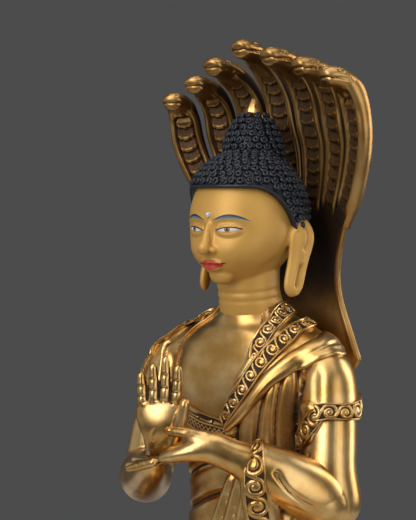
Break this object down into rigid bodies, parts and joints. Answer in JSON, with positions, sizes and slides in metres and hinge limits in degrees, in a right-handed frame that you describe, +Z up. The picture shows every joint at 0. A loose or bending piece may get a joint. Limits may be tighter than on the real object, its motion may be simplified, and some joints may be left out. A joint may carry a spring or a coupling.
{
  "type": "gilded seated figure with serpent canopy",
  "caption": "Cast and gilded seated teaching figure with a many-headed serpent canopy behind the head, on a low oval lotus plinth.",
  "frame": {"origin": "centre of the plinth's underside", "axes": "+Z up, the figure faces -Y, its own left hand is at +X"},
  "size_m": [0.2, 0.14, 0.3287],
  "materials": {
    "gilded_metal": "gilded, polished and brushed, browned in the hollows",
    "aged_gilded_metal": "gilded and antiqued, dark brown in the channels, bright on the edges",
    "clear_stone": "small clear faceted stone",
    "painted_gold": "matt gold paint on the face, neck and ears, with painted eyes, brows and lips",
    "painted_hair": "black-blue satin paint"
  },
  "bodies": {
    "root": {"figure": "gilded_metal", "serpent_canopy": "aged_gilded_metal", "forehead_stone": "clear_stone", "lotus_plinth": "gilded_metal"}
  },
  "joints": []
}
